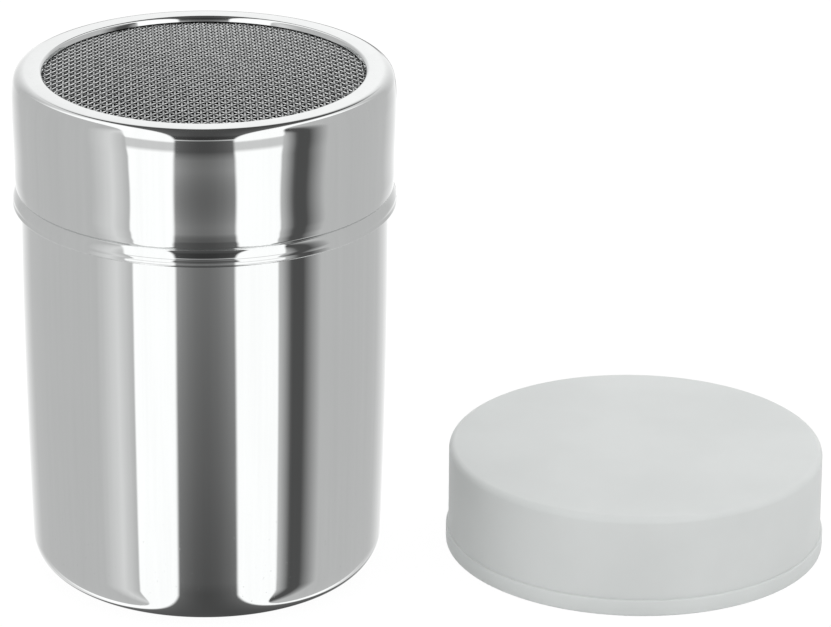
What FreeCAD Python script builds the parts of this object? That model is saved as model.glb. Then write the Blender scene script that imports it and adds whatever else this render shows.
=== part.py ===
import FreeCAD, Part
import Sketcher
import math
import os
import re

# Mesh-top spice shaker with its loose storage cap, all lengths in millimetres.
# A drawn steel can, a push-on steel lid whose throat is closed by a domed woven wire screen,
# a pressed ring that clamps the screen and lines the lid, and a moulded cap beside the can.
# The origin is the centre of the can's base. Z is up and the cap stands along +X.

SIZES = {
    # can
    "can_radius": 33.25,
    "can_height": 93.1,
    "can_sheet": 0.5,
    "taper_height": 68.0,
    "foot_inset": 1.05,
    "corner_radius": 7.0,
    "foot_ring_width": 6.0,
    "base_panel_slope": 1.6,
    "base_recess_depth": 0.8,
    # lid
    "lid_height": 25.25,
    "lid_sheet": 0.6,
    "shoulder_radius": 2.1,
    "rim_width": 5.5,
    "throat_round": 0.65,
    "lip_depth": 0.9,
    "waist_height": 4.6,
    "bead_height": 3.0,
    "bead_bulge": 0.85,
    # ring that holds the screen
    "ring_sheet": 0.5,
    "ring_ledge": 0.3,
    "sleeve_depth": 5.0,
    # woven screen
    "wire_diameter": 0.35,
    "screen_pitch": 1.1,
    "screen_rise": 1.6,
    "screen_margin": 0.7,
    # storage cap
    "cap_height": 19.25,
    "cap_wall": 0.45,
    "cap_top_wall": 0.9,
    "cap_edge_radius": 1.3,
    "cap_band_height": 3.1,
    "cap_band_thickness": 0.45,
    "cap_band_ledge": 0.25,
    "cap_stand_gap": 10.2,
    # clearances, and how far the soft cap stretches to grip the lid
    "seat_gap": 0.1,
    "sleeve_gap": 0.15,
    "press_gap": 0.02,
    "grip_gap": 0.1,
    "layer_gap": 0.04,
    "lip_gap": 0.02,
    "cap_stretch": 0.15,
}

# How far the weave is turned from the X axis, in degrees.
SCREEN_TURN = 3.7

# Which way the loose cap stands from the can, in degrees from the X axis.
CAP_BEARING = 7.47

# Where each wire bends, as shares of the screen's radius to either side of its middle.
BEND_SHARES = (-0.5, 0.0, 0.5)

# How many flats stand for a round: more of them draw it finer and make the model heavier.
WIRE_FLAT_COUNT = 4
FOOT_FLAT_COUNT = 5
INNER_FOOT_FLAT_COUNT = 4
BEAD_FLAT_COUNT = 5
EDGE_FLAT_COUNT = 3
LIP_FLAT_COUNT = 2

# How far a bevel reaches, as a share of the radius of the round whose middle it touches.
BEVEL_SHARE = 2 - math.sqrt(2)

# Heights and radii that several pieces share, each worked out from the driving sizes.
FOOT_RADIUS = "(can_radius - foot_inset)"
TAPER_BEND = "(((taper_height - corner_radius) ^ 2 + foot_inset ^ 2) / (2 * foot_inset))"
SLEEVE_BORE = "(can_radius + sleeve_gap)"
SLEEVE_RADIUS = f"({SLEEVE_BORE} + ring_sheet)"
LID_BORE = f"({SLEEVE_RADIUS} + press_gap)"
LID_RADIUS = f"({LID_BORE} + lid_sheet)"
CREASE_BORE = "(can_radius + grip_gap)"
CREASE_RADIUS = f"({CREASE_BORE} + lid_sheet)"
BEAD_RADIUS = f"({CREASE_RADIUS} + bead_bulge)"
THROAT_RADIUS = f"({LID_RADIUS} - rim_width)"
SCREEN_RADIUS = f"({THROAT_RADIUS} + lid_sheet + screen_margin)"
LEDGE_DEPTH = "(2 * ring_sheet)"
RING_TOP = f"(can_height + seat_gap + {LEDGE_DEPTH})"
CHORD_DROP = "(screen_rise / 8)"
WEAVE_LEVEL = f"({RING_TOP} + {CHORD_DROP} + wire_diameter + layer_gap / 2)"
THROAT_RISE = f"(screen_rise * (1 - ({THROAT_RADIUS} / {SCREEN_RADIUS}) ^ 2))"
LIP_EDGE = f"({WEAVE_LEVEL} + {THROAT_RISE} + layer_gap / 2 + wire_diameter + lip_gap)"
RIM_TOP = f"({LIP_EDGE} + lip_depth)"
HEM = f"({RIM_TOP} - lid_height)"
CAP_BORE = f"({LID_RADIUS} - cap_stretch)"
CAP_RADIUS = f"({CAP_BORE} + cap_wall)"
CAP_BAND_RADIUS = f"({CAP_RADIUS} + cap_band_thickness)"
CAP_STAND_REACH = f"({BEAD_RADIUS} + cap_stand_gap + {CAP_BAND_RADIUS})"


def make_sheet(doc):
    """The spreadsheet of driving sizes, one aliased cell each."""
    sheet = doc.addObject("Spreadsheet::Sheet", "Sizes")
    for row, (name, size) in enumerate(SIZES.items(), start=1):
        sheet.set(f"A{row}", name)
        sheet.set(f"B{row}", str(size))
        sheet.setAlias(f"B{row}", name)
    doc.recompute()
    return sheet


def formula(text):
    """An expression on named sizes, with each name looked up in the sheet."""
    return re.sub(r"[a-z_]+", lambda word: f"Sizes.{word[0]}" if word[0] in SIZES else word[0], text)


def worked_out(owner, text):
    """The number that an expression on named sizes gives."""
    return float(owner.evalExpression(formula(text)))


def new_body(doc, label):
    body = doc.addObject("PartDesign::Body", label)
    body.Label = label
    return body


def arc_between(start, end, radius, turn):
    """The sketch arc from start to end; turn is 1 where it runs anticlockwise and -1 where it runs clockwise."""
    chord = end - start
    reach = math.sqrt(max(radius**2 - chord.Length**2 / 4, 0))
    across = FreeCAD.Vector(-chord.y, chord.x, 0).normalize()
    centre = (start + end) / 2 + across * reach * turn
    first, last = (start, end) if turn > 0 else (end, start)
    from_angle = math.atan2(first.y - centre.y, first.x - centre.x)
    to_angle = math.atan2(last.y - centre.y, last.x - centre.x)
    circle = Part.Circle(centre, FreeCAD.Vector(0, 0, 1), radius)
    return Part.ArcOfCircle(circle, from_angle, to_angle)


def pin_point(sketch, edge, end, axis, text):
    """Fix one coordinate of an edge's end, on an axis where it is zero and by its expression elsewhere."""
    if text == "0":
        sketch.addConstraint(Sketcher.Constraint("PointOnObject", edge, end, -2 if axis == "X" else -1))
        return
    kind = f"Distance{axis}"
    index = sketch.addConstraint(Sketcher.Constraint(kind, -1, 1, edge, end, worked_out(sketch, text)))
    sketch.setExpression(f"Constraints[{index}]", formula(text))


def half_section(body, corners):
    """A closed sketch on the body's XZ plane.

    A corner is (across, up), or (across, up, radius, turn) where an arc leads on to the next corner.
    """
    sketch = body.newObject("Sketcher::SketchObject", body.Label + "_section")
    plane = next(item for item in body.Origin.OriginFeatures if item.Role == "XZ_Plane")
    sketch.AttachmentSupport = (plane, [""])
    sketch.MapMode = "FlatFace"
    places = [FreeCAD.Vector(worked_out(sketch, c[0]), worked_out(sketch, c[1]), 0) for c in corners]
    starts, ends = [], []
    for i, corner in enumerate(corners):
        here, there = places[i], places[(i + 1) % len(places)]
        if len(corner) == 2:
            edge = sketch.addGeometry(Part.LineSegment(here, there), False)
            starts.append((edge, 1))
            ends.append((edge, 2))
            continue
        radius, turn = corner[2], corner[3]
        edge = sketch.addGeometry(arc_between(here, there, worked_out(sketch, radius), turn), False)
        starts.append((edge, 1 if turn > 0 else 2))
        ends.append((edge, 2 if turn > 0 else 1))
    for i, corner in enumerate(corners):
        edge, end = starts[i]
        sketch.addConstraint(Sketcher.Constraint("Coincident", *ends[i - 1], edge, end))
        pin_point(sketch, edge, end, "X", corner[0])
        pin_point(sketch, edge, end, "Y", corner[1])
        if len(corner) == 4:
            size = worked_out(sketch, corner[2])
            index = sketch.addConstraint(Sketcher.Constraint("Radius", edge, size))
            sketch.setExpression(f"Constraints[{index}]", formula(corner[2]))
    return sketch


def rounded(across, up, reach_across, reach_up, first, last, flats):
    """Corners along part of an ellipse about (across, up), between two angles in degrees."""
    corners = []
    for i in range(flats + 1):
        angle = first + (last - first) * i / flats
        corners.append((f"{across} + {reach_across} * cos({angle})", f"{up} + {reach_up} * sin({angle})"))
    return corners


def spin(body, corners):
    """Revolve a half section once round the body's Z axis."""
    sketch = half_section(body, corners)
    turned = body.newObject("PartDesign::Revolution", body.Label + "_spun")
    turned.Profile = sketch
    turned.ReferenceAxis = (sketch, ["V_Axis"])
    turned.Angle = 360
    sketch.Visibility = False
    return body


def make_can_body(doc):
    """Drawn cup with a recessed base, a rounded foot and a wall that draws in towards it."""
    turn_in = f"({FOOT_RADIUS} - corner_radius)"
    inner_radius = "(corner_radius - can_sheet)"
    panel_foot = f"({turn_in} - foot_ring_width)"
    panel_edge = f"{panel_foot} - base_panel_slope"
    foot = rounded(turn_in, "corner_radius", "corner_radius", "corner_radius", -90, 0, FOOT_FLAT_COUNT)
    inner_foot = rounded(turn_in, "corner_radius", inner_radius, inner_radius, 0, -90, INNER_FOOT_FLAT_COUNT)
    return spin(new_body(doc, "can_body"), [
        ("0", "base_recess_depth"),
        (panel_edge, "base_recess_depth"),
        (panel_foot, "0"),
        *foot[:-1],
        (*foot[-1], TAPER_BEND, 1),
        ("can_radius", "taper_height"),
        ("can_radius", "can_height"),
        ("can_radius - can_sheet", "can_height"),
        ("can_radius - can_sheet", "taper_height", f"{TAPER_BEND} - can_sheet", -1),
        *inner_foot,
        (panel_foot, "can_sheet"),
        (panel_edge, "base_recess_depth + can_sheet"),
        ("0", "base_recess_depth + can_sheet"),
    ])


def make_lid_shell(doc):
    """Spun lid: a turned-in lip, a flat rim, a round shoulder, a skirt and a rolled bead at its hem."""
    bead_middle = f"({HEM} + bead_height / 2)"
    crease = f"({HEM} + bead_height)"
    waist = f"({HEM} + waist_height)"
    lip_radius = f"({THROAT_RADIUS} + lid_sheet)"
    rim_underside = f"({RIM_TOP} - lid_sheet)"
    bevel = f"({BEVEL_SHARE} * (shoulder_radius - lid_sheet))"
    shoulder = (f"{LID_RADIUS} - shoulder_radius", f"{RIM_TOP} - shoulder_radius")
    lip_turn = (f"{THROAT_RADIUS} + throat_round", f"{RIM_TOP} - throat_round")
    return spin(new_body(doc, "lid_shell"), [
        (THROAT_RADIUS, LIP_EDGE),
        (lip_radius, LIP_EDGE),
        (lip_radius, rim_underside),
        (f"{LID_BORE} - {bevel}", rim_underside),
        (LID_BORE, f"{rim_underside} - {bevel}"),
        (LID_BORE, waist),
        (CREASE_BORE, crease),
        (f"{BEAD_RADIUS} - lid_sheet", bead_middle),
        (CREASE_BORE, HEM),
        *rounded(CREASE_RADIUS, bead_middle, "bead_bulge", "bead_height / 2", -90, 90, BEAD_FLAT_COUNT),
        (LID_RADIUS, waist),
        *rounded(*shoulder, "shoulder_radius", "shoulder_radius", 0, 90, EDGE_FLAT_COUNT),
        *rounded(*lip_turn, "throat_round", "throat_round", 90, 180, LIP_FLAT_COUNT),
    ])


def make_screen_retaining_ring(doc):
    """Pressed ring: a ledge, folded double, under the screen's edge and a sleeve that lines the lid."""
    ledge_bore = f"{THROAT_RADIUS} - ring_ledge"
    underside = f"{RING_TOP} - {LEDGE_DEPTH}"
    return spin(new_body(doc, "screen_retaining_ring"), [
        (ledge_bore, RING_TOP),
        (ledge_bore, underside),
        (SLEEVE_BORE, underside),
        (SLEEVE_BORE, f"{underside} - sleeve_depth"),
        (SLEEVE_RADIUS, f"{underside} - sleeve_depth"),
        (SLEEVE_RADIUS, RING_TOP),
    ])


def make_storage_cap(doc):
    """Moulded cap, open below, with a soft top edge and a wider band at its mouth."""
    edge = (f"{CAP_RADIUS} - cap_edge_radius", "cap_height - cap_edge_radius")
    inner_bevel = "(cap_edge_radius / 2)"
    body = spin(new_body(doc, "storage_cap"), [
        ("0", "cap_height - cap_top_wall"),
        (f"{CAP_BORE} - {inner_bevel}", "cap_height - cap_top_wall"),
        (CAP_BORE, f"cap_height - cap_top_wall - {inner_bevel}"),
        (CAP_BORE, "0"),
        (CAP_BAND_RADIUS, "0"),
        (CAP_BAND_RADIUS, "cap_band_height - cap_band_ledge"),
        (f"{CAP_BAND_RADIUS} - cap_band_ledge", "cap_band_height"),
        (CAP_RADIUS, "cap_band_height"),
        *rounded(*edge, "cap_edge_radius", "cap_edge_radius", 0, 90, EDGE_FLAT_COUNT),
        ("0", "cap_height"),
    ])
    body.setExpression("Placement.Base.x", formula(f"{CAP_STAND_REACH} * cos({CAP_BEARING})"))
    body.setExpression("Placement.Base.y", formula(f"{CAP_STAND_REACH} * sin({CAP_BEARING})"))
    return body


def flat_sided(rings):
    """A solid with flat sides between rings of corners, closed by its first and last ring."""
    faces = [Part.Face(Part.makePolygon(ring + ring[:1])) for ring in (rings[0], rings[-1])]
    for near, far in zip(rings, rings[1:]):
        for i, corner in enumerate(near):
            quad = [near[i - 1], corner, far[i], far[i - 1], near[i - 1]]
            faces.append(Part.Face(Part.makePolygon(quad)))
    return Part.Solid(Part.Shell(faces))


def wire_section(middle, side, flat_distance):
    """The corners of a wire's cut end, with a flat above and a flat below."""
    half_step = math.pi / WIRE_FLAT_COUNT
    reach = flat_distance / math.cos(half_step)
    corners = []
    for i in range(WIRE_FLAT_COUNT):
        angle = (2 * i + 1) * half_step - math.pi / 2
        offset = side * math.cos(angle) + FreeCAD.Vector(0, 0, math.sin(angle))
        corners.append(middle + offset * reach)
    return corners


def screen_wires(sheet, along, side, layer):
    """The parallel wires of one layer of the domed screen; layer is 1 for the upper and -1 for the lower.

    The dome's height is one share across plus one share along, so the crossing wires meet all over it.
    """
    radius = worked_out(sheet, SCREEN_RADIUS)
    rise = worked_out(sheet, "screen_rise")
    pitch = worked_out(sheet, "screen_pitch")
    half_wire = worked_out(sheet, "wire_diameter / 2")
    level = worked_out(sheet, WEAVE_LEVEL) + rise + layer * (half_wire + worked_out(sheet, "layer_gap / 2"))
    bends = [share * radius for share in BEND_SHARES]
    knots = [-radius, *bends, radius]

    def drop(distance):
        """How far the dome falls at a distance from its middle, straight between the knots."""
        upper = next(i for i, knot in enumerate(knots) if distance <= knot)
        low, high = knots[max(upper - 1, 0)], knots[max(upper, 1)]
        share = (distance - low) / (high - low)
        return rise * ((1 - share) * low**2 + share * high**2) / radius**2

    wires = []
    last = int((radius - pitch) / pitch)
    for i in range(-last, last + 1):
        offset = i * pitch
        half_length = math.sqrt(radius**2 - offset**2)
        stops = [-half_length, *[bend for bend in bends if abs(bend) < half_length - half_wire], half_length]
        rings = []
        for stop in stops:
            height = level - drop(stop) - drop(offset)
            middle = along * stop + side * offset + FreeCAD.Vector(0, 0, height)
            rings.append(wire_section(middle, side, half_wire))
        wires.append(flat_sided(rings))
    return wires


def make_screen_layer(doc, sheet, label, quarter_turns, layer):
    """One layer of the woven screen, a separate solid for each wire."""
    turn = FreeCAD.Rotation(FreeCAD.Vector(0, 0, 1), SCREEN_TURN + 90 * quarter_turns)
    along = turn.multVec(FreeCAD.Vector(1, 0, 0))
    side = turn.multVec(FreeCAD.Vector(0, 1, 0))
    piece = doc.addObject("Part::Feature", label)
    piece.Label = label
    piece.Shape = Part.makeCompound(screen_wires(sheet, along, side, layer))
    return piece


def check(doc, pieces):
    """Stop unless every object computed and every piece is a valid solid shape."""
    for item in doc.Objects:
        if "Invalid" in item.State or "Error" in item.State:
            raise RuntimeError(f"{item.Label} did not compute: {item.State}")
    for piece in pieces:
        shape = piece.Shape
        if shape.isNull() or not shape.isValid() or not shape.Solids:
            raise RuntimeError(f"{piece.Label} has no valid solid")
        print(piece.Label, len(shape.Solids), "solids", round(shape.Volume, 2), "mm3")


def main():
    doc = FreeCAD.newDocument("SpiceShaker")
    sheet = make_sheet(doc)
    pieces = [
        make_can_body(doc),
        make_lid_shell(doc),
        make_screen_retaining_ring(doc),
        make_screen_layer(doc, sheet, "screen_warp_wires", 0, 1),
        make_screen_layer(doc, sheet, "screen_weft_wires", 1, -1),
        make_storage_cap(doc),
    ]
    doc.recompute()
    check(doc, pieces)
    os.makedirs("parts", exist_ok=True)
    for piece in pieces:
        piece.Shape.exportStep(f"parts/{piece.Label}.step")


main()
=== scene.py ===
import math

import bmesh
import bpy
from mathutils import Matrix, Vector


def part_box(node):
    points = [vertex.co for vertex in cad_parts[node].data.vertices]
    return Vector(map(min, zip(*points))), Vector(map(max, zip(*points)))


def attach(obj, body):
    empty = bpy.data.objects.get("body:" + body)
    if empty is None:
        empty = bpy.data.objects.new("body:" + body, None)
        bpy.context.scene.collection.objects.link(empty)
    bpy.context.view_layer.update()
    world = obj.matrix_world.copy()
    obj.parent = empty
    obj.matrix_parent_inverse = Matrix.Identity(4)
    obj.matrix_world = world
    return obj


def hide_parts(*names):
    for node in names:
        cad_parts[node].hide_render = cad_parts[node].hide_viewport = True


# Mesh-top spice shaker and its loose storage cap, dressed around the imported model, in metres.
# Round pieces are spun from fine outlines, and the screen is woven from crimped wires.

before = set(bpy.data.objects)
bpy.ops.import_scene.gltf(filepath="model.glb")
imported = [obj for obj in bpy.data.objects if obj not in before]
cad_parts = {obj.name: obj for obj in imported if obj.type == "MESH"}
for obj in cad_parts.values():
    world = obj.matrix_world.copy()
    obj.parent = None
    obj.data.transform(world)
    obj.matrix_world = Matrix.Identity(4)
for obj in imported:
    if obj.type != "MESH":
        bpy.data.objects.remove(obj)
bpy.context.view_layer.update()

MM = 0.001
ROUND_STEPS = 288

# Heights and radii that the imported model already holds.
can_low, can_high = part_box("can_body")
lid_low, lid_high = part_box("lid_shell")
ring_low, ring_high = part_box("screen_retaining_ring")
cap_low, cap_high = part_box("storage_cap")

# Can: a drawn cup.
CAN_RADIUS = can_high.x
CAN_TOP = can_high.z
CAN_SHEET = 0.5 * MM
FOOT_INSET = 1.05 * MM
TAPER_HEIGHT = 68 * MM
CORNER_RADIUS = 7 * MM
FOOT_RING_WIDTH = 6 * MM
BASE_SLOPE = 1.6 * MM
BASE_RECESS = 0.8 * MM
MOUTH_BAND = 1 * MM

# Lid: a spun shell with a rolled bead at its hem.
BEAD_RADIUS = min(lid_high.x, -lid_low.y)
RIM_TOP = lid_high.z
HEM = lid_low.z
LID_SHEET = 0.6 * MM
PRESS_GAP = 0.02 * MM
LID_BORE = ring_high.x + PRESS_GAP
LID_RADIUS = LID_BORE + LID_SHEET
SKIRT_TOP_RADIUS = LID_RADIUS + 0.1 * MM
SKIRT_FOOT_RADIUS = LID_RADIUS - 0.15 * MM
THROAT_RADIUS = LID_RADIUS - 5.5 * MM
THROAT_ROUND = 0.65 * MM
LIP_DEPTH = 0.9 * MM
LIP_EDGE = RIM_TOP - LIP_DEPTH
LIP_LEAN = math.radians(17)
CREASE_RADIUS = LID_RADIUS - 0.57 * MM
BEAD_HEIGHT = 3 * MM
CREASE = HEM + BEAD_HEIGHT

# Heights above the crease: where the skirt starts to widen upwards, where it starts to tip in, is
# tipped in, and turns into the crease. The insets are how far in it stands at the last two.
WIDEN_START = 4.5 * MM
TIP_START = 3.3 * MM
TIP_END, TIP_INSET = 1.8 * MM, 0.06 * MM
CREASE_TURN, TURN_INSET = 0.7 * MM, 0.17 * MM
SKIRT_TOP_DEPTH = 7.2 * MM

# Bead, from the hem up: its lip's height, then the height and inset of its seam, roll and roll's top.
HEM_LIP_HEIGHT = 0.5 * MM
SEAM_HEIGHT, SEAM_INSET = 1.02 * MM, 0.13 * MM
ROLL_HEIGHT, ROLL_INSET = 1.5 * MM, 0.08 * MM
ROLL_TOP_HEIGHT, ROLL_TOP_INSET = 1.82 * MM, 0.14 * MM

# The shoulder's round, from the rim outwards: each stretch's radius and how many degrees it turns.
SHOULDER = ((2.1 * MM, 79), (18 * MM, 11))
INNER_SHOULDER = 1.5 * MM

# Ring inside the lid.
SLEEVE_RADIUS = ring_high.x
SLEEVE_BORE = SLEEVE_RADIUS - 0.5 * MM
LEDGE_DEPTH = 1 * MM
LEDGE_BORE = THROAT_RADIUS - 0.3 * MM

# Screen: plain weave, slightly domed and turned a little, and pressed down where it is clamped.
WIRE_RADIUS = 0.175 * MM
WEAVE_PITCH = 1.1 * MM
SCREEN_RADIUS = THROAT_RADIUS + 1.3 * MM
SCREEN_RISE = 1.6 * MM
SCREEN_TURN = math.radians(3.7)
WARP_BEND = 0.75 * WIRE_RADIUS
WEFT_BEND = 2 * WIRE_RADIUS - WARP_BEND
LIP_GAP = 0.04 * MM
THROAT_RISE = SCREEN_RISE * (1 - (THROAT_RADIUS / SCREEN_RADIUS) ** 2)
WEAVE_LEVEL = LIP_EDGE - max(WARP_BEND, WEFT_BEND) - WIRE_RADIUS - LIP_GAP - THROAT_RISE
CLAMP_START = THROAT_RADIUS - 0.4 * MM
CLAMPED_BEND_SHARE = 0.7
WIRE_SIDES = 6
CRIMP_STEPS = 4

# Storage cap.
CAP_CENTRE = (cap_low + cap_high) / 2
CAP_BAND_RADIUS = (cap_high.x - cap_low.x) / 2
CAP_HEIGHT = cap_high.z
CAP_RADIUS = CAP_BAND_RADIUS - 0.45 * MM
CAP_WALL = 0.45 * MM
CAP_TOP_WALL = 0.9 * MM
CAP_EDGE_RADIUS = 1.3 * MM
CAP_BAND_HEIGHT = 3.1 * MM
CAP_BAND_LEDGE = 0.25 * MM

# Camera, as it stood for the photograph.
LENS = 237.24
CAMERA_DISTANCE = 1001 * MM
LOOK_DOWN = math.radians(21.61)
ROLL = math.radians(0.44)
TARGET = Vector((38.32 * MM, 0, 49.1 * MM))

# Polished steel keeps this share of the light that it mirrors.
STEEL_SHARE = 0.70

# The studio's panels, as the greys that polished steel shows of them. Azimuths count from the viewer,
# positive to the right, and elevations from level, both in degrees.
WALL_GREY = 240
CARD_GREY = 180
LIGHT_EDGE_GREY = 210
DARK_EDGE_GREY = 75
WHITE_GREY = 255
STRIP_GREY = 200
GAP_GREY = 70
TABLE_EDGE_GREY = 110
SLIT_GREY = 150
DEEP_GAP_GREY = 50

# Round the sides: a pale wall behind and a card at each side of the object. The left card has a lighter
# edge and the right card a dark one.
SIDE_GREYS = ((-180, WALL_GREY), (-140, CARD_GREY), (-70, CARD_GREY), (-55, LIGHT_EDGE_GREY),
              (-45, CARD_GREY), (50, CARD_GREY), (58, DARK_EDGE_GREY), (66, DARK_EDGE_GREY),
              (80, CARD_GREY), (140, CARD_GREY), (180, WALL_GREY))

# White panels in front, with a greyer strip where they meet the table.
WHITE_GREYS = ((-12, WHITE_GREY), (-8, STRIP_GREY), (0, STRIP_GREY), (2, WHITE_GREY))

# The gap between them and overhead: pale where the table's edge shows in it, with a bright slit above
# level and its deepest part over that. It is twice as light at its sides as in its middle.
GAP_GREYS = ((-30, GAP_GREY), (-20, TABLE_EDGE_GREY), (-10, GAP_GREY), (5, GAP_GREY), (8, SLIT_GREY),
             (14, SLIT_GREY), (18, DEEP_GAP_GREY), (40, DEEP_GAP_GREY), (60, GAP_GREY))
GAP_LEFT, GAP_RIGHT = -0.26, 0.33
GAP_EDGE = 0.02
GAP_BACK = (0.72, 0.88)

# Each card's middle and half size, as depth and height over the distance to the side, how its edge
# fades over its size, and where both end towards the back.
LEFT_CARD = (0.06, -0.5, 1.1, 2.1)
RIGHT_CARD = (0.14, -0.35, 1.02, 2.05)
CARD_EDGE = (0.975, 1.03)
CARD_BACK = (0.45, 0.7)

# A dark stripe behind the object: where its sides, depth, foot and top fade.
BACK_STRIPE_GREY = 120
STRIPE_SIDE = (0.10, 0.17)
STRIPE_DEPTH = (0.5, 0.7)
STRIPE_FOOT = (-0.335, -0.315)
STRIPE_TOP = (0.05, 0.14)

# What lights the matt surfaces: the studio as one plain level, and a lamp above.
PLAIN_LIGHT = 0.96
LAMP_SIZE = 0.8
LAMP_HEIGHT = 1.2
LAMP_POWER = 0.95

# Steel tones, as the share of each colour that is mirrored.
STEEL_PALE = (0.715, 0.725, 0.723, 1)
STEEL_DEEP = (0.665, 0.675, 0.673, 1)
STEEL_SPECK = (0.50, 0.51, 0.51, 1)
# Inward faces below the mouth: a rougher finish, and this darker tone, which is painted shade in the
# hollow.
STEEL_INSIDE_DULL_AND_SHADED = (0.42, 0.43, 0.43, 1)
POLISH = 0.03
INSIDE_ROUGHNESS = 0.28
WIRE_DEEP = (0.54, 0.55, 0.55, 1)
WIRE_PALE = (0.72, 0.73, 0.73, 1)
RING_DEEP = (0.50, 0.51, 0.51, 1)
RING_PALE = (0.62, 0.63, 0.63, 1)

# The drawing lines' pattern is squeezed this much along the axis, and specks fade out above the foot.
LINE_STRETCH = (1, 1, 0.012)
SPECK_FADE = (4 * MM, 32 * MM)

TABLE_HALF = 3.0
TABLE_GREY = (0.93, 0.93, 0.93, 1)
TABLE_GLOW = 1.03
TABLE_GLOW_SHARE = 0.93


def arc(across, up, radius, first, last, count):
    """Points round part of a circle in a half section, from one angle to another in degrees."""
    points = []
    for i in range(count + 1):
        angle = math.radians(first + (last - first) * i / count)
        points.append((across + radius * math.cos(angle), up + radius * math.sin(angle)))
    return points


def sweep(start, start_heading, end, end_heading, count):
    """Points along a smooth bend that leaves and arrives in two headings, in degrees."""
    reach = math.dist(start, end)
    leave = [reach * turn(math.radians(start_heading)) for turn in (math.cos, math.sin)]
    arrive = [reach * turn(math.radians(end_heading)) for turn in (math.cos, math.sin)]
    points = []
    for i in range(count + 1):
        t = i / count
        weights = (2 * t**3 - 3 * t**2 + 1, t**3 - 2 * t**2 + t, 3 * t**2 - 2 * t**3, t**3 - t**2)
        points.append(tuple(
            weights[0] * start[k] + weights[1] * leave[k] + weights[2] * end[k] + weights[3] * arrive[k]
            for k in (0, 1)))
    return points


def finish_mesh(name, mesh, crease_angle=40):
    """Close a bmesh into an object whose rounds are smooth and whose creases stay sharp."""
    bmesh.ops.recalc_face_normals(mesh, faces=mesh.faces)
    data = bpy.data.meshes.new(name)
    mesh.to_mesh(data)
    mesh.free()
    data.shade_smooth()
    data.set_sharp_from_angle(angle=math.radians(crease_angle))
    piece = bpy.data.objects.new(name, data)
    bpy.context.scene.collection.objects.link(piece)
    return piece


def spin(name, outline, centre=(0, 0)):
    """Spin a closed half section about an upright axis; a point on the axis is made once."""
    mesh = bmesh.new()
    rings = []
    for across, up in outline:
        if across < 1e-9:
            rings.append([mesh.verts.new((centre[0], centre[1], up))])
            continue
        ring = []
        for i in range(ROUND_STEPS):
            angle = math.tau * i / ROUND_STEPS
            ring.append(mesh.verts.new((
                centre[0] + across * math.cos(angle), centre[1] + across * math.sin(angle), up)))
        rings.append(ring)
    for low, high in zip(rings, rings[1:] + rings[:1]):
        if len(low) == 1 and len(high) == 1:
            continue
        for i in range(ROUND_STEPS):
            j = (i + 1) % ROUND_STEPS
            corners = [low[i % len(low)], low[j % len(low)], high[j % len(high)], high[i % len(high)]]
            mesh.faces.new(list(dict.fromkeys(corners)))
    return finish_mesh(name, mesh)


def make_can():
    """Drawn can: a recessed base, a rounded foot and a wall that draws in towards it."""
    taper = TAPER_HEIGHT - CORNER_RADIUS
    bend = (taper**2 + FOOT_INSET**2) / (2 * FOOT_INSET)
    lean = math.degrees(math.asin(taper / (bend - CORNER_RADIUS)))
    turn_in = CAN_RADIUS - bend + (bend - CORNER_RADIUS) * math.cos(math.radians(lean))
    panel_foot = turn_in - FOOT_RING_WIDTH
    outer_taper = arc(CAN_RADIUS - bend, TAPER_HEIGHT, bend, -lean, 0, 24)
    panel_slope = sweep((panel_foot - BASE_SLOPE, BASE_RECESS), 0, (panel_foot, 0), 0, 8)
    inner = CAN_RADIUS - CAN_SHEET
    return spin("can_body", [
        (0, BASE_RECESS),
        (panel_foot - BASE_SLOPE, BASE_RECESS),
        *panel_slope[1:],
        *arc(turn_in, CORNER_RADIUS, CORNER_RADIUS, -90, -lean, 24),
        *outer_taper[1:],
        (CAN_RADIUS, (CAN_TOP + TAPER_HEIGHT) / 2),
        *arc(CAN_RADIUS - CAN_SHEET / 4, CAN_TOP - CAN_SHEET / 4, CAN_SHEET / 4, 0, 90, 4),
        *arc(inner + CAN_SHEET / 4, CAN_TOP - CAN_SHEET / 4, CAN_SHEET / 4, 90, 180, 4),
        *[(across - CAN_SHEET, up) for across, up in reversed(outer_taper)],
        *arc(turn_in, CORNER_RADIUS, CORNER_RADIUS - CAN_SHEET, -lean, -90, 24)[1:],
        *[(across, up + CAN_SHEET) for across, up in reversed(panel_slope)],
        (0, BASE_RECESS + CAN_SHEET),
    ])


def shoulder_round():
    """Points from the rim's flat over the shoulder to the skirt, where the round ends upright."""
    across, up, turned = 0, RIM_TOP, 0
    points = [(across, up)]
    for radius, degrees in SHOULDER:
        lean = math.radians(turned)
        centre = (across - radius * math.sin(lean), up - radius * math.cos(lean))
        points += arc(*centre, radius, 90 - turned, 90 - turned - degrees, max(4, degrees // 4))[1:]
        across, up = points[-1]
        turned += degrees
    return [(point + SKIRT_TOP_RADIUS - across, height) for point, height in points]


def throat_round():
    """Points from the rim's flat, round into the throat to the lip, which leans in to its edge."""
    last = 180 - math.degrees(LIP_LEAN)
    points = arc(THROAT_RADIUS + THROAT_ROUND, RIM_TOP - THROAT_ROUND, THROAT_ROUND, 90, last, 12)
    across, up = points[-1]
    shift = across - THROAT_RADIUS - (up - LIP_EDGE) * math.tan(LIP_LEAN)
    return [(point - shift, height) for point, height in points]


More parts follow.
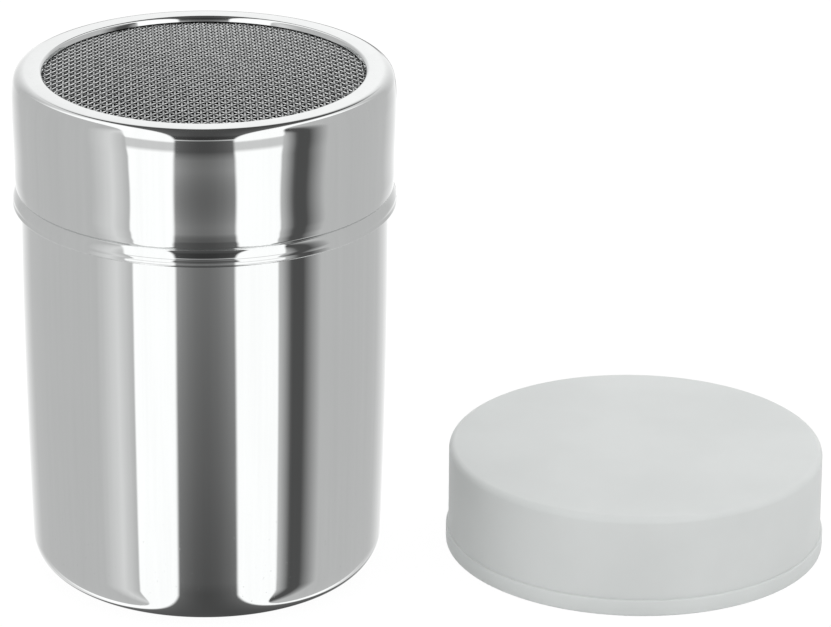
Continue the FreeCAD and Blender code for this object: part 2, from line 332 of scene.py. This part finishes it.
def make_lid():
    """Spun lid: a turned-in lip, a flat rim, a round shoulder, a skirt and a rolled bead."""
    crease_bore = CREASE_RADIUS - LID_SHEET
    crease = (CREASE_RADIUS, CREASE)
    rim_underside = RIM_TOP - LID_SHEET
    skirt_foot = CREASE + WIDEN_START
    skirt_top = RIM_TOP - SKIRT_TOP_DEPTH
    hem_lip = (BEAD_RADIUS, HEM + HEM_LIP_HEIGHT)
    lip_seam = (BEAD_RADIUS - SEAM_INSET, HEM + SEAM_HEIGHT)
    roll_front = (BEAD_RADIUS - ROLL_INSET, HEM + ROLL_HEIGHT)
    roll_top = (BEAD_RADIUS - ROLL_TOP_INSET, HEM + ROLL_TOP_HEIGHT)
    turning = (SKIRT_FOOT_RADIUS - TURN_INSET, CREASE + CREASE_TURN)
    tipped = (SKIRT_FOOT_RADIUS - TIP_INSET, CREASE + TIP_END)
    bead = [
        *sweep((CREASE_RADIUS, HEM), 10, hem_lip, 100, 10),
        *sweep(hem_lip, 106, lip_seam, 106, 4)[1:],
        *sweep(lip_seam, 80, roll_front, 90, 5)[1:],
        *sweep(roll_front, 90, roll_top, 109, 6)[1:],
        *sweep(roll_top, 109, crease, 136, 10)[1:],
    ]
    waist = [
        *sweep(crease, 128, turning, 85, 12)[1:],
        *sweep(turning, 85, tipped, 87, 6)[1:],
        *sweep(tipped, 87, (SKIRT_FOOT_RADIUS, CREASE + TIP_START), 90, 8)[1:],
    ]
    skirt = sweep((SKIRT_FOOT_RADIUS, skirt_foot), 90, (SKIRT_TOP_RADIUS, skirt_top), 90, 24)
    inner_skirt = sweep((LID_BORE, skirt_top), -90, (SKIRT_FOOT_RADIUS - LID_SHEET, skirt_foot), -90, 12)
    inner_roll = (BEAD_RADIUS - 1.3 * LID_SHEET, HEM + BEAD_HEIGHT / 2)
    inner_bead = [
        *sweep((inner_skirt[-1][0], CREASE + TIP_START), -90, (crease_bore, CREASE), -95, 10),
        *sweep((crease_bore, CREASE), -50, inner_roll, -90, 6)[1:],
        *sweep(inner_roll, -90, (crease_bore, HEM), -130, 6)[1:],
    ]
    inner_shoulder = (LID_BORE - INNER_SHOULDER, rim_underside - INNER_SHOULDER)
    return spin("lid_shell", [
        (THROAT_RADIUS, LIP_EDGE),
        (THROAT_RADIUS + LID_SHEET, LIP_EDGE),
        (THROAT_RADIUS + LID_SHEET, rim_underside),
        *arc(*inner_shoulder, INNER_SHOULDER, 90, 0, 8),
        *inner_skirt,
        *inner_bead,
        *bead,
        *waist,
        *skirt,
        *reversed(shoulder_round()),
        *throat_round(),
    ])


def make_ring():
    """Pressed ring: a folded ledge under the screen's edge and a sleeve that lines the lid."""
    top, bottom = ring_high.z, ring_low.z
    underside = top - LEDGE_DEPTH
    fold = LEDGE_DEPTH / 2
    return spin("screen_retaining_ring", [
        *arc(LEDGE_BORE + fold, top - fold, fold, 90, 270, 8),
        (SLEEVE_BORE, underside),
        (SLEEVE_BORE, bottom),
        (SLEEVE_RADIUS, bottom),
        (SLEEVE_RADIUS, top),
    ])


def make_wires(name, quarter_turns, first_side, bend):
    """One set of crimped wires of the weave; first_side is 1 where its middle wire starts on top.

    A wire is bent by this much over and under the other set, and less where the ring clamps it.
    """
    turn = Matrix.Rotation(SCREEN_TURN + quarter_turns * math.pi / 2, 3, "Z")
    along, side, up = turn @ Vector((1, 0, 0)), turn @ Vector((0, 1, 0)), Vector((0, 0, 1))
    mesh = bmesh.new()
    last = int((SCREEN_RADIUS - WEAVE_PITCH) / WEAVE_PITCH)
    for wire in range(-last, last + 1):
        offset = wire * WEAVE_PITCH
        half_length = math.sqrt(SCREEN_RADIUS**2 - offset**2)
        steps = int(half_length * CRIMP_STEPS / WEAVE_PITCH)
        rings = []
        for i in range(-steps, steps + 1):
            place = i * WEAVE_PITCH / CRIMP_STEPS
            reach = math.hypot(place, offset)
            height = bend * first_side * (CLAMPED_BEND_SHARE if reach > CLAMP_START else 1)
            phase = math.pi * (place / WEAVE_PITCH + wire)
            slope = -height * math.pi / WEAVE_PITCH * math.sin(phase)
            dome = SCREEN_RISE * (1 - (reach / SCREEN_RADIUS) ** 2)
            middle = along * place + side * offset + up * (WEAVE_LEVEL + dome + height * math.cos(phase))
            out = (up - along * slope).normalized()
            ring = []
            for k in range(WIRE_SIDES):
                angle = math.tau * (k + 0.5) / WIRE_SIDES
                outwards = side * math.cos(angle) + out * math.sin(angle)
                ring.append(mesh.verts.new(middle + WIRE_RADIUS * outwards))
            rings.append(ring)
        for near, far in zip(rings, rings[1:]):
            for k in range(WIRE_SIDES):
                mesh.faces.new([near[k - 1], near[k], far[k], far[k - 1]])
        mesh.faces.new(rings[0])
        mesh.faces.new(rings[-1][::-1])
    return finish_mesh(name, mesh, 70)


def make_cap():
    """Moulded cap, open below, with a soft top edge and a wider band at its mouth."""
    bore = CAP_RADIUS - CAP_WALL
    inner_top = CAP_HEIGHT - CAP_TOP_WALL
    inner_edge = CAP_EDGE_RADIUS / 2
    ledge = CAP_BAND_LEDGE
    band_top = (CAP_RADIUS + ledge / 2, CAP_BAND_HEIGHT)
    wall_foot = (CAP_RADIUS, CAP_BAND_HEIGHT + ledge / 2)
    return spin("storage_cap", [
        (0, inner_top),
        *arc(bore - inner_edge, inner_top - inner_edge, inner_edge, 90, 0, 8),
        (bore, 0),
        *arc(CAP_BAND_RADIUS - ledge, ledge, ledge, -90, 0, 6),
        *arc(CAP_BAND_RADIUS - ledge, CAP_BAND_HEIGHT - ledge, ledge, 0, 90, 6),
        *sweep(band_top, 180, wall_foot, 90, 4),
        *arc(CAP_RADIUS - CAP_EDGE_RADIUS, CAP_HEIGHT - CAP_EDGE_RADIUS, CAP_EDGE_RADIUS, 0, 90, 16),
        (0, CAP_HEIGHT),
    ], centre=(CAP_CENTRE.x, CAP_CENTRE.y))


class Number:
    """A shader socket that holds a number; an expression on it adds the Math nodes that work it out."""

    def __init__(self, shader, socket):
        self.shader = shader
        self.socket = socket

    def maths(self, operation, *numbers):
        return self.shader.node("ShaderNodeMath", {"operation": operation}, dict(enumerate(numbers)))

    def __add__(self, other):
        return self.maths("ADD", self, other)

    def __radd__(self, other):
        return self.maths("ADD", other, self)

    def __sub__(self, other):
        return self.maths("SUBTRACT", self, other)

    def __rsub__(self, other):
        return self.maths("SUBTRACT", other, self)

    def __mul__(self, other):
        return self.maths("MULTIPLY", self, other)

    def __rmul__(self, other):
        return self.maths("MULTIPLY", other, self)

    def __truediv__(self, other):
        return self.maths("DIVIDE", self, other)

    def __pow__(self, other):
        return self.maths("POWER", self, other)

    def __abs__(self):
        return self.maths("ABSOLUTE", self)

    def __lt__(self, other):
        return self.maths("LESS_THAN", self, other)

    def __gt__(self, other):
        return self.maths("GREATER_THAN", self, other)

    def at_least(self, other):
        return self.maths("MAXIMUM", self, other)

    def rise(self, start, end):
        """0 up to start, 1 from end on, and a soft step between them."""
        settings = {"interpolation_type": "SMOOTHSTEP"}
        values = {"Value": self, "From Min": start, "From Max": end}
        return self.shader.node("ShaderNodeMapRange", settings, values)


class Shader:
    """The node tree of a material or a world."""

    def __init__(self, owner):
        owner.use_nodes = True
        self.tree = owner.node_tree
        self.tree.nodes.clear()

    def node(self, kind, settings=None, values=None, output=0):
        """Add a node, with its settings first and then its sockets' values or links."""
        made = self.tree.nodes.new(kind)
        for name, setting in (settings or {}).items():
            if name == "stops":
                self.set_stops(made.color_ramp, setting)
            else:
                setattr(made, name, setting)
        for key, value in (values or {}).items():
            socket = made.inputs[key]
            if isinstance(value, Number):
                self.tree.links.new(value.socket, socket)
            else:
                socket.default_value = value
        return Number(self, made.outputs[output]) if made.outputs else made

    def set_stops(self, ramp, stops):
        while len(ramp.elements) < len(stops):
            ramp.elements.new(1)
        for element, (place, colour) in zip(ramp.elements, stops):
            element.position = place
            element.color = colour

    def mix(self, share, first, second):
        """One colour blended into another."""
        settings = {"data_type": "RGBA"}
        return self.node("ShaderNodeMix", settings, {0: share, 6: first, 7: second}, output=2)

    def pick(self, share, first, second):
        """One number blended into another."""
        return self.node("ShaderNodeMix", {}, {0: share, 2: first, 3: second})

    def vector(self, operation, first, second, output=0):
        """Two vectors put together."""
        return self.node("ShaderNodeVectorMath", {"operation": operation}, {0: first, 1: second}, output)

    def parts(self, vector):
        """The three numbers of a vector."""
        split = self.node("ShaderNodeSeparateXYZ", {}, {0: vector}).socket.node
        return [Number(self, output) for output in split.outputs]

    def outputs(self, kind, *names):
        """Several outputs of one node without inputs."""
        made = self.node(kind).socket.node
        return [Number(self, made.outputs[name]) for name in names]

    def noise(self, place, scale, detail):
        """A cloudy pattern of so many features to the metre."""
        return self.node("ShaderNodeTexNoise", {}, {"Vector": place, "Scale": scale, "Detail": detail})


def linear(grey):
    """A grey of the finished picture, 0 to 255, as light."""
    share = grey / 255
    return share / 12.92 if share <= 0.04045 else ((share + 0.055) / 1.055) ** 2.4


def paint(red, green, blue):
    return (linear(red), linear(green), linear(blue), 1)


def mirrored(grey):
    """The light of a studio panel that polished steel shows as this grey."""
    return linear(grey) / STEEL_SHARE


def panel_stops(greys, place):
    """Ramp stops for panels that polished steel shows in these greys."""
    return [(place(where), (mirrored(grey),) * 3 + (1,)) for where, grey in greys]


def light_studio():
    """What polished steel mirrors: white panels with a dark gap overhead and a grey card at each side.

    The direction's x runs to the right, y away from the viewer and z up.
    """
    world = bpy.data.worlds.new("studio")
    bpy.context.scene.world = world
    shader = Shader(world)
    x, y, z = shader.parts(shader.node("ShaderNodeTexCoord"))

    def level(where, stops):
        ramp = shader.node("ShaderNodeValToRGB", {"stops": stops}, {0: where})
        return shader.node("ShaderNodeRGBToBW", {}, {0: ramp})

    def by_elevation(greys):
        stops = panel_stops(greys, lambda angle: (math.sin(math.radians(angle)) + 1) / 2)
        return level((z + 1) / 2, stops)

    def card(centre_depth, centre_height, half_depth, half_height):
        """How far out on a card a direction points, 0 at its middle and 1 at its edge."""
        across = (depth - centre_depth) / half_depth
        up = (height - centre_height) / half_height
        return (across * across + up * up) ** 0.5

    azimuth = x.maths("ARCTAN2", x, 0 - y) / math.tau + 0.5
    card_light = level(azimuth, panel_stops(SIDE_GREYS, lambda angle: angle / 360 + 0.5))

    width = abs(x).at_least(0.001)
    depth, height = y / width, z / width
    off_card = shader.pick(x > 0, card(*LEFT_CARD), card(*RIGHT_CARD)).rise(*CARD_EDGE)
    front = 1 - y.rise(*CARD_BACK)
    panels = shader.pick(off_card * front, card_light, by_elevation(WHITE_GREYS))

    stripe = (1 - abs(x).rise(*STRIPE_SIDE)) * y.rise(*STRIPE_DEPTH)
    stripe = stripe * z.rise(*STRIPE_FOOT) * (1 - z.rise(*STRIPE_TOP))
    panels = shader.pick(stripe, panels, mirrored(BACK_STRIPE_GREY))

    off_middle = (x - (GAP_LEFT + GAP_RIGHT) / 2) / ((GAP_RIGHT - GAP_LEFT) / 2)
    gap = by_elevation(GAP_GREYS) * (off_middle * off_middle + 1)
    right_of_left = x.rise(GAP_LEFT - GAP_EDGE, GAP_LEFT + GAP_EDGE)
    right_of_right = x.rise(GAP_RIGHT - GAP_EDGE, GAP_RIGHT + GAP_EDGE)
    in_gap = right_of_left * (1 - right_of_right) * (1 - y.rise(*GAP_BACK))
    mirrored_studio = shader.pick(in_gap, panels, gap)

    camera_ray, glossy_ray = shader.outputs("ShaderNodeLightPath", "Is Camera Ray", "Is Glossy Ray")
    strength = shader.pick(glossy_ray, PLAIN_LIGHT, mirrored_studio)
    strength = shader.pick(camera_ray, strength, 1.0)
    background = shader.node("ShaderNodeBackground", {}, {"Color": (1, 1, 1, 1), "Strength": strength})
    shader.node("ShaderNodeOutputWorld", {}, {"Surface": background})


def make_steel(name, polished_above):
    """Drawn steel: faint upright drawing lines, a slow waviness, and a duller inside below a height, whose
    darker tone there is painted shade in the hollow.
    """
    material = bpy.data.materials.new(name)
    shader = Shader(material)
    place = shader.node("ShaderNodeTexCoord", output="Object")
    upright = shader.vector("MULTIPLY", place, LINE_STRETCH)
    lines = shader.noise(upright, 1100, 3)
    broad_lines = shader.noise(upright, 240, 2)
    cloud = shader.noise(place, 55, 2)
    x, y, z = shader.parts(place)

    shade = 0.5 + (lines - 0.5) * 0.9 + (broad_lines - 0.5) * 0.9 + (cloud - 0.5) * 0.5
    tone = shader.mix(shade, STEEL_DEEP, STEEL_PALE)
    dullness = POLISH + 0.03 * lines.rise(0.45, 0.75) + 0.02 * cloud.rise(0.4, 0.7)

    specks = shader.noise(place, 1900, 1).rise(0.74, 0.78) * (1 - z.rise(*SPECK_FADE))
    tone = shader.mix(specks * 0.5, tone, STEEL_SPECK)
    dullness = dullness + specks * 0.2

    facing = shader.node("ShaderNodeTexCoord", output="Normal")
    from_axis = shader.vector("MULTIPLY", place, (1, 1, 0))
    outwards = shader.vector("DOT_PRODUCT", facing, from_axis, output=1)
    # Inward faces below the mouth get a rougher finish and a darker tone; the darker tone is painted
    # shade.
    inside = (outwards < 0) * (z < polished_above)
    tone = shader.mix(inside, tone, STEEL_INSIDE_DULL_AND_SHADED)
    dullness = shader.pick(inside, dullness, INSIDE_ROUGHNESS)

    wave = shader.node("ShaderNodeBump", {}, {"Strength": 1.0, "Distance": 0.010 * MM, "Height": cloud})
    grain = shader.node("ShaderNodeBump", {}, {
        "Strength": 0.5, "Distance": 0.0006 * MM, "Height": lines, "Normal": wave})
    surface = shader.node("ShaderNodeBsdfPrincipled", {}, {
        "Base Color": tone, "Metallic": 1.0, "Roughness": dullness, "Normal": grain})
    shader.node("ShaderNodeOutputMaterial", {}, {"Surface": surface})
    return material


def make_wire_steel():
    """Bright drawn wire, a little duller in places."""
    material = bpy.data.materials.new("drawn_wire")
    shader = Shader(material)
    place = shader.node("ShaderNodeTexCoord", output="Object")
    patches = shader.noise(place, 500, 3)
    tone = shader.mix(patches.rise(0.3, 0.7), WIRE_DEEP, WIRE_PALE)
    dullness = 0.09 + 0.08 * patches.rise(0.45, 0.8)
    grain = shader.node("ShaderNodeBump", {}, {"Strength": 0.3, "Distance": 0.004 * MM, "Height": patches})
    surface = shader.node("ShaderNodeBsdfPrincipled", {}, {
        "Base Color": tone, "Metallic": 1.0, "Roughness": dullness, "Normal": grain})
    shader.node("ShaderNodeOutputMaterial", {}, {"Surface": surface})
    return material


def make_ring_steel():
    """Plain rolled sheet, satin, with fine lines round the ring."""
    material = bpy.data.materials.new("rolled_steel")
    shader = Shader(material)
    place = shader.node("ShaderNodeTexCoord", output="Object")
    lines = shader.noise(shader.vector("MULTIPLY", place, (0.02, 0.02, 1)), 2400, 2)
    patches = shader.noise(place, 160, 3)
    tone = shader.mix(0.5 + (lines - 0.5) + (patches - 0.5), RING_DEEP, RING_PALE)
    grain = shader.node("ShaderNodeBump", {}, {"Strength": 0.4, "Distance": 0.003 * MM, "Height": lines})
    surface = shader.node("ShaderNodeBsdfPrincipled", {}, {
        "Base Color": tone, "Metallic": 1.0, "Roughness": 0.24 + 0.1 * patches, "Normal": grain})
    shader.node("ShaderNodeOutputMaterial", {}, {"Surface": surface})
    return material


def make_plastic():
    """Milky moulded plastic: satin, with a fine moulded grain and a faint unevenness of tone."""
    material = bpy.data.materials.new("milky_plastic")
    shader = Shader(material)
    place = shader.node("ShaderNodeTexCoord", output="Object")
    cloud = shader.noise(place, 45, 3)
    grain = shader.noise(place, 2600, 2)
    tone = shader.mix(cloud.rise(0.3, 0.7), paint(214, 217, 216), paint(219, 222, 221))
    skin = shader.node("ShaderNodeBump", {}, {"Strength": 0.35, "Distance": 0.006 * MM, "Height": grain})
    surface = shader.node("ShaderNodeBsdfPrincipled", {}, {
        "Base Color": tone, "Roughness": 0.42 + 0.1 * grain, "Normal": skin, "IOR": 1.46,
        "Subsurface Weight": 0.4, "Subsurface Radius": (1, 1, 1), "Subsurface Scale": 1.5 * MM})
    shader.node("ShaderNodeOutputMaterial", {}, {"Surface": surface})
    return material


def dress(piece, body, node, material):
    piece.data.materials.append(material)
    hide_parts(node)
    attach(piece, body)


def lay_floor():
    """A pale table that keeps the shadows and that the steel doesn't mirror."""
    mesh = bmesh.new()
    corners = ((-1, -1), (1, -1), (1, 1), (-1, 1))
    mesh.faces.new([mesh.verts.new((x * TABLE_HALF, y * TABLE_HALF, 0)) for x, y in corners])
    floor = finish_mesh("table_top", mesh)
    material = bpy.data.materials.new("table_white")
    shader = Shader(material)
    camera_ray, glossy_ray = shader.outputs("ShaderNodeLightPath", "Is Camera Ray", "Is Glossy Ray")
    matt = shader.node("ShaderNodeBsdfDiffuse", {}, {"Color": TABLE_GREY})
    glow = shader.node("ShaderNodeEmission", {}, {"Strength": TABLE_GLOW})
    clear = shader.node("ShaderNodeBsdfTransparent")
    plain = shader.node("ShaderNodeMixShader", {}, {0: camera_ray * TABLE_GLOW_SHARE, 1: matt, 2: glow})
    surface = shader.node("ShaderNodeMixShader", {}, {0: glossy_ray, 1: plain, 2: clear})
    shader.node("ShaderNodeOutputMaterial", {}, {"Surface": surface})
    floor.data.materials.append(material)


def place_camera():
    """The photograph's view: its target, distance, downward look and slight roll."""
    data = bpy.data.cameras.new("view")
    data.sensor_width = 36
    data.lens = LENS
    camera = bpy.data.objects.new("view", data)
    bpy.context.scene.collection.objects.link(camera)
    turn = Matrix.Rotation(math.pi / 2 - LOOK_DOWN, 4, "X") @ Matrix.Rotation(ROLL, 4, "Z")
    camera.matrix_world = Matrix.Translation(TARGET + turn @ Vector((0, 0, CAMERA_DISTANCE))) @ turn
    bpy.context.scene.camera = camera


def hang_lamp():
    data = bpy.data.lights.new("overhead", "AREA")
    data.size = LAMP_SIZE
    data.energy = LAMP_POWER
    lamp = bpy.data.objects.new("overhead", data)
    lamp.location = (0, 0, LAMP_HEIGHT)
    lamp.visible_glossy = False
    bpy.context.scene.collection.objects.link(lamp)


can_steel = make_steel("can_polish", CAN_TOP - MOUTH_BAND)
lid_steel = make_steel("lid_polish", LIP_EDGE)
wire_steel = make_wire_steel()
ring_steel = make_ring_steel()
plastic = make_plastic()

dress(make_can(), "can", "can_body", can_steel)
dress(make_lid(), "lid", "lid_shell", lid_steel)
dress(make_ring(), "lid", "screen_retaining_ring", ring_steel)
warp = make_wires("screen_warp_wires", 0, 1, WARP_BEND)
dress(warp, "lid", "screen_warp_wires", wire_steel)
weft = make_wires("screen_weft_wires", 1, -1, WEFT_BEND)
dress(weft, "lid", "screen_weft_wires", wire_steel)
cap = make_cap()
cap.visible_glossy = False
dress(cap, "cap", "storage_cap", plastic)

light_studio()
lay_floor()
hang_lamp()
place_camera()
bpy.context.scene.view_settings.view_transform = "Standard"
